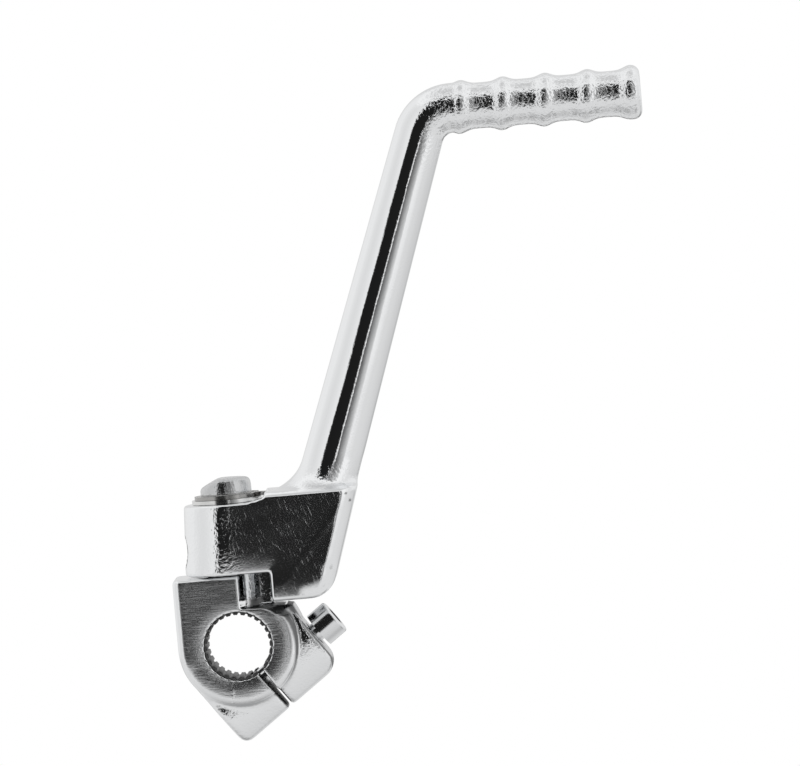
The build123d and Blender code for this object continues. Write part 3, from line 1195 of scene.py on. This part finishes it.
    def soft_share(self, place: Vector) -> float:
        """How much the polishing has rounded the two ears and the top of the post at a place.

        Args:
            place: a point of the mesh.

        Returns:
            The share, from 0 to 1.
        """
        ears = ease(math.hypot(place.x, place.z), *self.ear_reach) * ease(place.z, *self.ear_top)
        ears *= ease(abs(place.y) - self.face_y, *self.ear_inset)
        return max(ears, ease(place.z, *self.head_soft))

    def lap_share(self, place: Vector, normal: Vector) -> float:
        """How much the brushing of the two faces shows at a place."""
        return ease(abs(place.y) - self.face_y, *self.lap_inset) * ease(abs(normal.y), *self.lap_facing)

    def grain_share(self, place: Vector, normal: Vector) -> float:
        """How much cast grain is left: on the ears, the post's top and its neck, and in a scratch.

        Args:
            place: a point of the mesh.
            normal: the surface's normal there.

        Returns:
            The share, from 0 to 1.
        """
        ears = ease(abs(place.y) - self.face_y, *self.ear_grain_inset)
        ears *= ease(abs(normal.y), *self.ear_facing)
        neck = ease(place.z, *self.neck_grain_z)
        neck *= ease(math.hypot(place.x, place.y), *self.neck_grain_r)
        low, high = self.scratch_z
        beyond = max(low - place.z, 0.0, place.z - high)
        scratch = ease(math.hypot(place.x - self.scratch_x, beyond), *self.scratch_width)
        return max(
            self.ear_grain * ears,
            self.head_grain * ease(place.z, *self.head_grain_z),
            self.neck_grain * neck,
            self.scratch_grain * scratch * (place.y < 0),
        )

    def shade_and_bare_share(self, place: Vector, normal: Vector) -> float:
        """How dark the surface is painted: painted shade in the slit, under the lug and on the screw's
        seat, and a darker post top.

        Args:
            place: a point of the mesh.
            normal: the surface's normal there.

        Returns:
            The share, from 0 to 1.
        """
        across = Vector((math.cos(self.slit_turn), 0, math.sin(self.slit_turn)))
        facing = normal.dot(across)
        # painted shade on the slit's two walls
        wall = ease(abs(facing), *self.wall_facing) * ease(abs(place.dot(across)), *self.wall_reach)
        # the painted shade is darkest where the seat rounds over, and lighter where it is square to the
        # screw
        square = self.seat_flat + (1 - self.seat_flat) * ease(facing, *self.seat_square)
        seat = square * ease(facing, *self.seat_facing) * ease(place.x, *self.seat_x)
        seat *= ease(place.z, *self.seat_top) * ease(math.hypot(place.x, place.z), *self.seat_r)
        # the post's top is painted darker
        head = ease(place.z, *self.head_darkening_z)
        return max(wall, self.seat_shade * seat, self.head_share * head)


@dataclass
class SplinedBore:
    """Splined lining of the clamp's bore, darkened inside with painted shade, cut by the slit and by the
    pinch screw.
    """

    teeth: int = 28
    points_per_tooth: int = 8
    tip_share: float = 0.27
    tip_radius: float = 8.6 * MM
    root_radius: float = 9.15 * MM
    half_length: float = 9.55 * MM
    mouth: float = 0.5 * MM
    mouth_scale: float = 1.055
    slit_turn: float = SLIT_TURN
    slit_width: float = 2.1 * MM
    saw_length: float = 40 * MM
    saw_depth: float = 6 * MM
    screw_offset: float = 11.35 * MM
    screw_radius: float = 3.1 * MM
    screw_facets: int = 48
    drill_length: float = 60 * MM

    def cut_profile(self, lining: bpy.types.Object) -> None:
        """Draws the ring's points in to make the tips of the teeth.

        Args:
            lining: the ring in edit mode.
        """
        bpy.ops.mesh.select_all(action="DESELECT")
        mesh = bmesh.from_edit_mesh(lining.data)
        for vert in mesh.verts:
            turn = math.atan2(vert.co.z, vert.co.x) / (2 * math.pi) * self.teeth
            vert.select_set(abs(turn - round(turn)) < self.tip_share)
        bmesh.update_edit_mesh(lining.data)
        inward = self.tip_radius / self.root_radius
        bpy.ops.transform.resize(value=(inward, 1, inward), center_override=(0, -self.half_length, 0))

    def turn_wall(self, lining: bpy.types.Object) -> None:
        """Extrudes the toothed ring along the bore, and folds its ends out into an outer wall.

        Args:
            lining: the ring in edit mode.
        """
        bpy.ops.mesh.select_mode(type="EDGE")
        bpy.ops.mesh.select_all(action="SELECT")
        along = (0, 2 * self.half_length, 0)
        bpy.ops.mesh.extrude_region_move(TRANSFORM_OT_translate={"value": along})
        wider = (self.mouth_scale, 1, self.mouth_scale)
        for side in (1, -1):
            end = side * self.half_length
            select_edges(lining, lambda place, end=end: abs(place.y - end) < NEAR)
            for step in (side * self.mouth, -2 * side * self.mouth):
                bpy.ops.mesh.extrude_region_move(TRANSFORM_OT_translate={"value": (0, step, 0)})
                bpy.ops.transform.resize(value=wider, center_override=(0, 0, 0))
        bpy.ops.mesh.select_non_manifold()
        bpy.ops.mesh.bridge_edge_loops()
        bpy.ops.mesh.select_all(action="SELECT")
        bpy.ops.mesh.normals_make_consistent(inside=False)

    def cut_openings(self, lining: bpy.types.Object) -> None:
        """Cuts the slit and the screw's passage through the lining.

        Args:
            lining: the closed lining.
        """
        down = Vector((math.sin(self.slit_turn), 0, -math.cos(self.slit_turn)))
        bpy.ops.object.select_all(action="DESELECT")
        bpy.ops.mesh.primitive_cube_add(
            size=1,
            location=down * self.tip_radius,
            rotation=(0, -self.slit_turn, 0),
            scale=(self.slit_width, self.saw_length, self.saw_depth),
        )
        saw = bpy.context.object
        bpy.ops.object.transform_apply()
        cut_away(lining, saw)
        drill(
            lining,
            self.screw_radius,
            self.drill_length,
            down * self.screw_offset,
            (0, math.pi / 2 - self.slit_turn, 0),
            self.screw_facets,
        )

    def build(self) -> bpy.types.Object:
        """Models the lining.

        Returns:
            The lining as a closed mesh.
        """
        bpy.ops.object.select_all(action="DESELECT")
        bpy.ops.mesh.primitive_circle_add(
            vertices=self.teeth * self.points_per_tooth,
            radius=self.root_radius,
            location=(0, -self.half_length, 0),
            rotation=(math.pi / 2, 0, 0),
        )
        lining = bpy.context.object
        lining.name = "splined_bore"
        bpy.ops.object.transform_apply()
        bpy.ops.object.mode_set(mode="EDIT")
        bpy.ops.mesh.select_mode(type="VERT")
        self.cut_profile(lining)
        self.turn_wall(lining)
        bpy.ops.object.mode_set(mode="OBJECT")
        self.cut_openings(lining)
        return lining

    def dress(self, lining: bpy.types.Object, finish: bpy.types.Material) -> None:
        """Marks the lining with painted shade all over and dresses it."""
        # painted shade over the whole lining
        mark(lining, Trait.SHADE_AND_BARE, lambda _place, _normal: 1.0)
        finish_piece(lining, Body.KNUCKLE, Slot.KNUCKLE, finish)


@dataclass
class StudioTent:
    """White tent round the lever with a dark opening in front, a pale floor and the camera.

    The stops pair an angle in degrees with a grey level.
    """

    # round the lever: from behind through the left, the front and the right
    around: Stops = (
        (-180, 0.11),
        (-162, 0.12),
        (-154, 0.5),
        (-138, 0.7),
        (-90, 0.76),
        (-60, 0.83),
        (-38, 0.92),
        (-35, 0.012),
        (6.5, 0.014),
        (7.5, 1.0),
        (10, 1.0),
        (11, 0.08),
        (38, 0.56),
        (44, 1.0),
        (60, 1.0),
        (72, 0.82),
        (100, 0.72),
        (138, 0.66),
        (154, 0.5),
        (162, 0.12),
        (180, 0.11),
    )
    # how far the tent is closed at each height: 0 shows what is around, 1 the tent's own tone
    closed_front: Stops = ((-90, 1.0), (-26, 1.0), (-10, 0.0), (46, 0.0), (52, 1.0), (90, 1.0))
    closed_back: Stops = (
        (-90, 1.0),
        (-34, 1.0),
        (-28, 0.0),
        (-13, 0.0),
        (-8, 0.7),
        (46, 0.7),
        (52, 1.0),
        (90, 1.0),
    )
    tones: Stops = (
        (-90, 0.7),
        (-40, 0.74),
        (-20, 0.76),
        (-6, 0.94),
        (0, 1.0),
        (56, 1.0),
        (66, 0.84),
        (78, 0.68),
        (90, 0.55),
    )
    side_blend: float = 0.3
    # floor
    floor_drop: float = 150 * MM
    floor_facets: int = 96
    paper: WhitePaper = WhitePaper()
    # camera
    view_distance: float = 2500 * MM
    view_azimuth: float = 1.4
    view_elevation: float = 2.7
    view_roll: float = 5.0
    view_end: float = 20000 * MM
    frame_width: float = 218.6 * MM
    frame_centre: tuple[float, float, float] = (50.0 * MM, 0.0, 67.4 * MM)

    def light(self) -> None:
        """Makes the world: white to the camera, and the tent with its opening to everything else."""
        world = bpy.data.worlds.new("white_tent")
        bpy.context.scene.world = world
        world.use_nodes = True
        tree = world.node_tree
        tree.nodes.clear()
        path = add_node(tree, "ShaderNodeLightPath")
        seen = add_node(
            tree,
            "ShaderNodeMix",
            {0: path.outputs["Is Camera Ray"], 6: self.sew_tent(tree), 7: (1.0, 1.0, 1.0, 1.0)},
            data_type="RGBA",
        )
        back = add_node(tree, "ShaderNodeBackground", {"Color": seen.outputs[2], "Strength": 1.0})
        add_node(tree, "ShaderNodeOutputWorld", {"Surface": back.outputs[0]})

    def sew_tent(self, tree: bpy.types.NodeTree) -> bpy.types.NodeSocket:
        """Adds the tent's tone in every direction.

        Args:
            tree: the world's node tree.

        Returns:
            The tone.
        """
        ray = add_node(tree, "ShaderNodeTexCoord").outputs["Generated"]
        axes = add_node(tree, "ShaderNodeSeparateXYZ", {0: ray})
        ahead = add_node(tree, "ShaderNodeMath", {0: axes.outputs["Y"], 1: -1.0}, operation="MULTIPLY")
        turn = add_node(
            tree, "ShaderNodeMath", {0: axes.outputs["X"], 1: ahead.outputs[0]}, operation="ARCTAN2"
        )
        lift = add_node(tree, "ShaderNodeMath", {0: axes.outputs["Z"]}, operation="ARCSINE")
        ramps = []
        for angle, half, stops in (
            (turn, 180, self.around),
            (lift, 90, self.closed_front),
            (lift, 90, self.closed_back),
            (lift, 90, self.tones),
        ):
            limits = {"From Min": -math.radians(half), "From Max": math.radians(half)}
            share = add_node(tree, "ShaderNodeMapRange", {"Value": angle.outputs[0], **limits})
            ramp = add_node(tree, "ShaderNodeValToRGB", {0: share.outputs[0]})
            set_ramp(ramp.color_ramp, [((degrees + half) / (2 * half), grey) for degrees, grey in stops])
            ramps.append(ramp.outputs[0])
        around, closed_front, closed_back, tone = ramps
        front = add_node(
            tree,
            "ShaderNodeMapRange",
            {"Value": ahead.outputs[0], "From Min": -self.side_blend, "From Max": self.side_blend},
        )
        closed = add_node(
            tree,
            "ShaderNodeMix",
            {0: front.outputs[0], 6: closed_back, 7: closed_front},
            data_type="RGBA",
        )
        tent = add_node(
            tree, "ShaderNodeMix", {0: closed.outputs[2], 6: around, 7: tone}, data_type="RGBA"
        )
        return tent.outputs[2]

    def lay_floor(self) -> None:
        """Lays the pale floor well below the lever."""
        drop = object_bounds()[0][2] - self.floor_drop
        bpy.ops.object.select_all(action="DESELECT")
        bpy.ops.mesh.primitive_circle_add(
            vertices=self.floor_facets,
            radius=self.paper.radius,
            fill_type="NGON",
            location=(0, 0, drop),
        )
        floor = bpy.context.object
        floor.name = "floor"
        bpy.ops.object.transform_apply()
        floor.data.materials.append(self.paper.make())
        floor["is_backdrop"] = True

    def aim_camera(self) -> None:
        """Places the long-lens camera as in the photograph."""
        data = bpy.data.cameras.new("long_lens")
        camera = bpy.data.objects.new("long_lens", data)
        bpy.context.collection.objects.link(camera)
        data.lens = data.sensor_width * self.view_distance / self.frame_width
        data.clip_end = self.view_end
        azimuth = math.radians(self.view_azimuth)
        elevation = math.radians(self.view_elevation)
        level = Vector((math.sin(azimuth), -math.cos(azimuth), 0)) * math.cos(elevation)
        towards = level + Vector((0, 0, math.sin(elevation)))
        camera.location = Vector(self.frame_centre) + towards * self.view_distance
        upright = (-towards).to_track_quat("-Z", "Y")
        camera.rotation_mode = "QUATERNION"
        camera.rotation_quaternion = upright @ Quaternion((0, 0, 1), math.radians(-self.view_roll))
        bpy.context.scene.camera = camera


def main() -> None:
    """Builds and dresses the lever piece by piece, then sets the tent and the camera round it."""
    logging.basicConfig(level=logging.INFO, format="%(asctime)s %(message)s")
    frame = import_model()
    nodes = frame["nodes"]
    chrome = PlatedChrome("bright_chrome_plate").make()
    # the same plate over a face brushed along X, whose streaks draw the reflections out across them
    brushed = PlatedChrome(
        "brushed_chrome_plate",
        lap_mm=(5.0, 4.0, 0.22),
        lap_turn=0.0,
        lap_height_mm=0.03,
        lap_floor=0.0,
        lap_roughness=0.18,
    ).make()
    Fittings().dress(nodes)
    arm = ForgedArm()
    arm.dress(arm.build(nodes["kick_arm"]), nodes["kick_arm"], chrome)
    clamp = ClampKnuckle()
    clamp.dress(clamp.build(nodes["clamp_knuckle"]), nodes["clamp_knuckle"], brushed)
    bore = SplinedBore()
    bore.dress(bore.build(), brushed)
    tent = StudioTent()
    tent.light()
    tent.lay_floor()
    tent.aim_camera()
    bpy.context.scene.view_settings.view_transform = "Standard"


if __name__ == "__main__":
    main()
